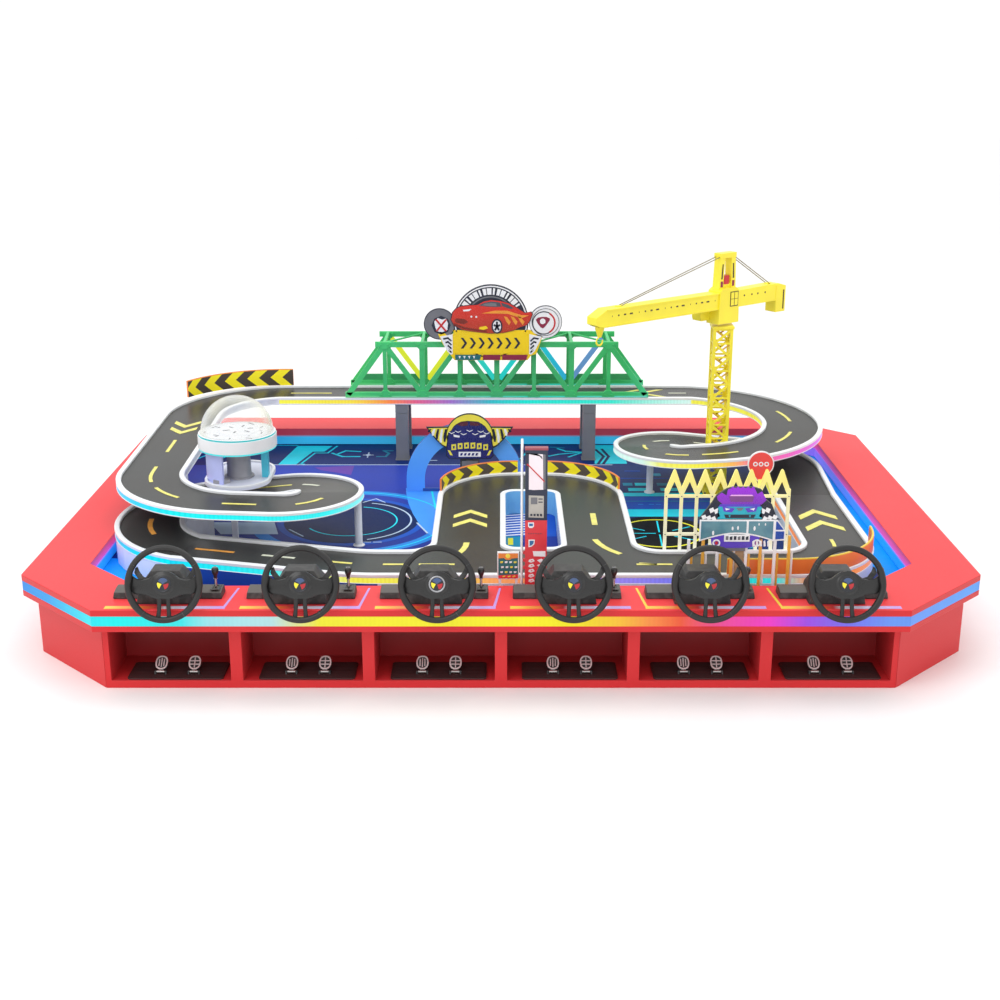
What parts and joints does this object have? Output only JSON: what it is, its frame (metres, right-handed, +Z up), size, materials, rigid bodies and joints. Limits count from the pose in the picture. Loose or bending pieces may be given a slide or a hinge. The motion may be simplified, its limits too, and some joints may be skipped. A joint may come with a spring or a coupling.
{
  "type": "sitdown racing cabinet",
  "caption": "Low octagonal racing table with steering wheels and pedal bays along one side, raised model roads, a truss bridge and a slewing tower crane inside.",
  "frame": {"origin": "middle of the table on the floor, on the underside of the middle bearer", "axes": "+X to the players' right along the row of wheels, +Y from the players to the back, +Z up"},
  "size_m": [3.7, 2.8356, 1.378],
  "materials": {
    "red_panel": "satin laminate",
    "dark_red_panel": "satin laminate",
    "playfield_print": "printed gloss laminate",
    "led_diffuser": "lit silicone diffuser",
    "black_plastic": "moulded grain",
    "grip_rubber": "fine grain",
    "black_steel": "powder coat",
    "pedal_steel": "brushed, black pattern",
    "case_metal": "powder coat",
    "road_surface": "asphalt print, white kerbs",
    "bridge_green": "gloss paint",
    "sign_print": "printed foam board",
    "crane_yellow": "gloss paint",
    "dome_white": "gloss",
    "clear_dome": "clear",
    "arch_blue": "satin",
    "kiosk_red": "printed board",
    "fence_yellow": "acrylic",
    "board_purple": "printed board"
  },
  "bodies": {
    "table": {"front_cabinet": "red_panel", "plinth": "red_panel", "playfield_floor": "playfield_print", "countertop": "red_panel", "edge_led_strip": "led_diffuser", "control_box": "case_metal", "wheel_base_1": "black_plastic", "wheel_base_2": "black_plastic", "wheel_base_3": "black_plastic", "wheel_base_4": "black_plastic", "wheel_base_5": "black_plastic", "wheel_base_6": "black_plastic", "pedal_base_1": "black_steel", "pedal_base_2": "black_steel", "pedal_base_3": "black_steel", "pedal_base_4": "black_steel", "pedal_base_5": "black_steel", "pedal_base_6": "black_steel", "back_deck": "road_surface", "left_spiral": "road_surface", "right_spiral": "road_surface", "front_left_road": "road_surface", "hairpin_road": "road_surface", "front_right_road": "road_surface", "bridge_front_truss": "bridge_green", "bridge_back_truss": "bridge_green", "bridge_sign": "sign_print", "crane_mast": "crane_yellow", "dome_tower": "dome_white", "dome_glass": "clear_dome", "badge_sign": "arch_blue", "pump_tower": "kiosk_red", "picket_fence": "fence_yellow", "car_billboard": "board_purple"},
    "service_door": {"service_door": "dark_red_panel"},
    "crane_jib": {"crane_jib": "crane_yellow"},
    "steering_wheel_1": {"steering_wheel_1": "grip_rubber"},
    "gear_lever_1": {"gear_lever_1": "black_plastic"},
    "brake_pedal_1": {"brake_pedal_1": "pedal_steel"},
    "accelerator_pedal_1": {"accelerator_pedal_1": "pedal_steel"},
    "steering_wheel_2": {"steering_wheel_2": "grip_rubber"},
    "gear_lever_2": {"gear_lever_2": "black_plastic"},
    "brake_pedal_2": {"brake_pedal_2": "pedal_steel"},
    "accelerator_pedal_2": {"accelerator_pedal_2": "pedal_steel"},
    "steering_wheel_3": {"steering_wheel_3": "grip_rubber"},
    "gear_lever_3": {"gear_lever_3": "black_plastic"},
    "brake_pedal_3": {"brake_pedal_3": "pedal_steel"},
    "accelerator_pedal_3": {"accelerator_pedal_3": "pedal_steel"},
    "steering_wheel_4": {"steering_wheel_4": "grip_rubber"},
    "gear_lever_4": {"gear_lever_4": "black_plastic"},
    "brake_pedal_4": {"brake_pedal_4": "pedal_steel"},
    "accelerator_pedal_4": {"accelerator_pedal_4": "pedal_steel"},
    "steering_wheel_5": {"steering_wheel_5": "grip_rubber"},
    "gear_lever_5": {"gear_lever_5": "black_plastic"},
    "brake_pedal_5": {"brake_pedal_5": "pedal_steel"},
    "accelerator_pedal_5": {"accelerator_pedal_5": "pedal_steel"},
    "steering_wheel_6": {"steering_wheel_6": "grip_rubber"},
    "gear_lever_6": {"gear_lever_6": "black_plastic"},
    "brake_pedal_6": {"brake_pedal_6": "pedal_steel"},
    "accelerator_pedal_6": {"accelerator_pedal_6": "pedal_steel"}
  },
  "joints": [
    {"name": "service_door_hinge", "type": "hinge", "parent": "table", "child": "service_door", "pos_m": [0.152, 1.342, 0.122], "axis": [0, 0, 1], "range_deg": [0, 100]},
    {"name": "crane_slew", "type": "hinge", "parent": "table", "child": "crane_jib", "pos_m": [1.015, 0.312, 1.06], "axis": [0, 0, 1], "range_deg": [-90, 90]},
    {"name": "steering_1", "type": "hinge", "parent": "table", "child": "steering_wheel_1", "pos_m": [-1.2115, -1.39, 0.432], "axis": [0, -0.9397, 0.342], "range_deg": [-135, 135], "stiffness_Nm_per_rad": 1},
    {"name": "gear_shift_1", "type": "hinge", "parent": "table", "child": "gear_lever_1", "pos_m": [-1.0555, -1.241, 0.351], "axis": [1, 0, 0], "range_deg": [-10, 10], "stiffness_Nm_per_rad": 0.5},
    {"name": "brake_press_1", "type": "hinge", "parent": "table", "child": "brake_pedal_1", "pos_m": [-1.27175, -1.292, 0.044], "axis": [-1, 0, 0], "range_deg": [0, 16], "stiffness_Nm_per_rad": 3, "springref_deg": -5.73},
    {"name": "accelerator_press_1", "type": "hinge", "parent": "table", "child": "accelerator_pedal_1", "pos_m": [-1.14775, -1.292, 0.044], "axis": [-1, 0, 0], "range_deg": [0, 16], "stiffness_Nm_per_rad": 3, "springref_deg": -5.73},
    {"name": "steering_2", "type": "hinge", "parent": "table", "child": "steering_wheel_2", "pos_m": [-0.7205, -1.39, 0.432], "axis": [0, -0.9397, 0.342], "range_deg": [-135, 135], "stiffness_Nm_per_rad": 1},
    {"name": "gear_shift_2", "type": "hinge", "parent": "table", "child": "gear_lever_2", "pos_m": [-0.5645, -1.241, 0.351], "axis": [1, 0, 0], "range_deg": [-10, 10], "stiffness_Nm_per_rad": 0.5},
    {"name": "brake_press_2", "type": "hinge", "parent": "table", "child": "brake_pedal_2", "pos_m": [-0.78305, -1.292, 0.044], "axis": [-1, 0, 0], "range_deg": [0, 16], "stiffness_Nm_per_rad": 3, "springref_deg": -5.73},
    {"name": "accelerator_press_2", "type": "hinge", "parent": "table", "child": "accelerator_pedal_2", "pos_m": [-0.65905, -1.292, 0.044], "axis": [-1, 0, 0], "range_deg": [0, 16], "stiffness_Nm_per_rad": 3, "springref_deg": -5.73},
    {"name": "steering_3", "type": "hinge", "parent": "table", "child": "steering_wheel_3", "pos_m": [-0.2295, -1.39, 0.432], "axis": [0, -0.9397, 0.342], "range_deg": [-135, 135], "stiffness_Nm_per_rad": 1},
    {"name": "gear_shift_3", "type": "hinge", "parent": "table", "child": "gear_lever_3", "pos_m": [-0.0735, -1.241, 0.351], "axis": [1, 0, 0], "range_deg": [-10, 10], "stiffness_Nm_per_rad": 0.5},
    {"name": "brake_press_3", "type": "hinge", "parent": "table", "child": "brake_pedal_3", "pos_m": [-0.29435, -1.292, 0.044], "axis": [-1, 0, 0], "range_deg": [0, 16], "stiffness_Nm_per_rad": 3, "springref_deg": -5.73},
    {"name": "accelerator_press_3", "type": "hinge", "parent": "table", "child": "accelerator_pedal_3", "pos_m": [-0.17035, -1.292, 0.044], "axis": [-1, 0, 0], "range_deg": [0, 16], "stiffness_Nm_per_rad": 3, "springref_deg": -5.73},
    {"name": "steering_4", "type": "hinge", "parent": "table", "child": "steering_wheel_4", "pos_m": [0.2615, -1.39, 0.432], "axis": [0, -0.9397, 0.342], "range_deg": [-135, 135], "stiffness_Nm_per_rad": 1},
    {"name": "gear_shift_4", "type": "hinge", "parent": "table", "child": "gear_lever_4", "pos_m": [0.4175, -1.241, 0.351], "axis": [1, 0, 0], "range_deg": [-10, 10], "stiffness_Nm_per_rad": 0.5},
    {"name": "brake_press_4", "type": "hinge", "parent": "table", "child": "brake_pedal_4", "pos_m": [0.19435, -1.292, 0.044], "axis": [-1, 0, 0], "range_deg": [0, 16], "stiffness_Nm_per_rad": 3, "springref_deg": -5.73},
    {"name": "accelerator_press_4", "type": "hinge", "parent": "table", "child": "accelerator_pedal_4", "pos_m": [0.31835, -1.292, 0.044], "axis": [-1, 0, 0], "range_deg": [0, 16], "stiffness_Nm_per_rad": 3, "springref_deg": -5.73},
    {"name": "steering_5", "type": "hinge", "parent": "table", "child": "steering_wheel_5", "pos_m": [0.7525, -1.39, 0.432], "axis": [0, -0.9397, 0.342], "range_deg": [-135, 135], "stiffness_Nm_per_rad": 1},
    {"name": "gear_shift_5", "type": "hinge", "parent": "table", "child": "gear_lever_5", "pos_m": [0.9085, -1.241, 0.351], "axis": [1, 0, 0], "range_deg": [-10, 10], "stiffness_Nm_per_rad": 0.5},
    {"name": "brake_press_5", "type": "hinge", "parent": "table", "child": "brake_pedal_5", "pos_m": [0.68305, -1.292, 0.044], "axis": [-1, 0, 0], "range_deg": [0, 16], "stiffness_Nm_per_rad": 3, "springref_deg": -5.73},
    {"name": "accelerator_press_5", "type": "hinge", "parent": "table", "child": "accelerator_pedal_5", "pos_m": [0.80705, -1.292, 0.044], "axis": [-1, 0, 0], "range_deg": [0, 16], "stiffness_Nm_per_rad": 3, "springref_deg": -5.73},
    {"name": "steering_6", "type": "hinge", "parent": "table", "child": "steering_wheel_6", "pos_m": [1.2435, -1.39, 0.432], "axis": [0, -0.9397, 0.342], "range_deg": [-135, 135], "stiffness_Nm_per_rad": 1},
    {"name": "gear_shift_6", "type": "hinge", "parent": "table", "child": "gear_lever_6", "pos_m": [1.3995, -1.241, 0.351], "axis": [1, 0, 0], "range_deg": [-10, 10], "stiffness_Nm_per_rad": 0.5},
    {"name": "brake_press_6", "type": "hinge", "parent": "table", "child": "brake_pedal_6", "pos_m": [1.17175, -1.292, 0.044], "axis": [-1, 0, 0], "range_deg": [0, 16], "stiffness_Nm_per_rad": 3, "springref_deg": -5.73},
    {"name": "accelerator_press_6", "type": "hinge", "parent": "table", "child": "accelerator_pedal_6", "pos_m": [1.29575, -1.292, 0.044], "axis": [-1, 0, 0], "range_deg": [0, 16], "stiffness_Nm_per_rad": 3, "springref_deg": -5.73}
  ]
}
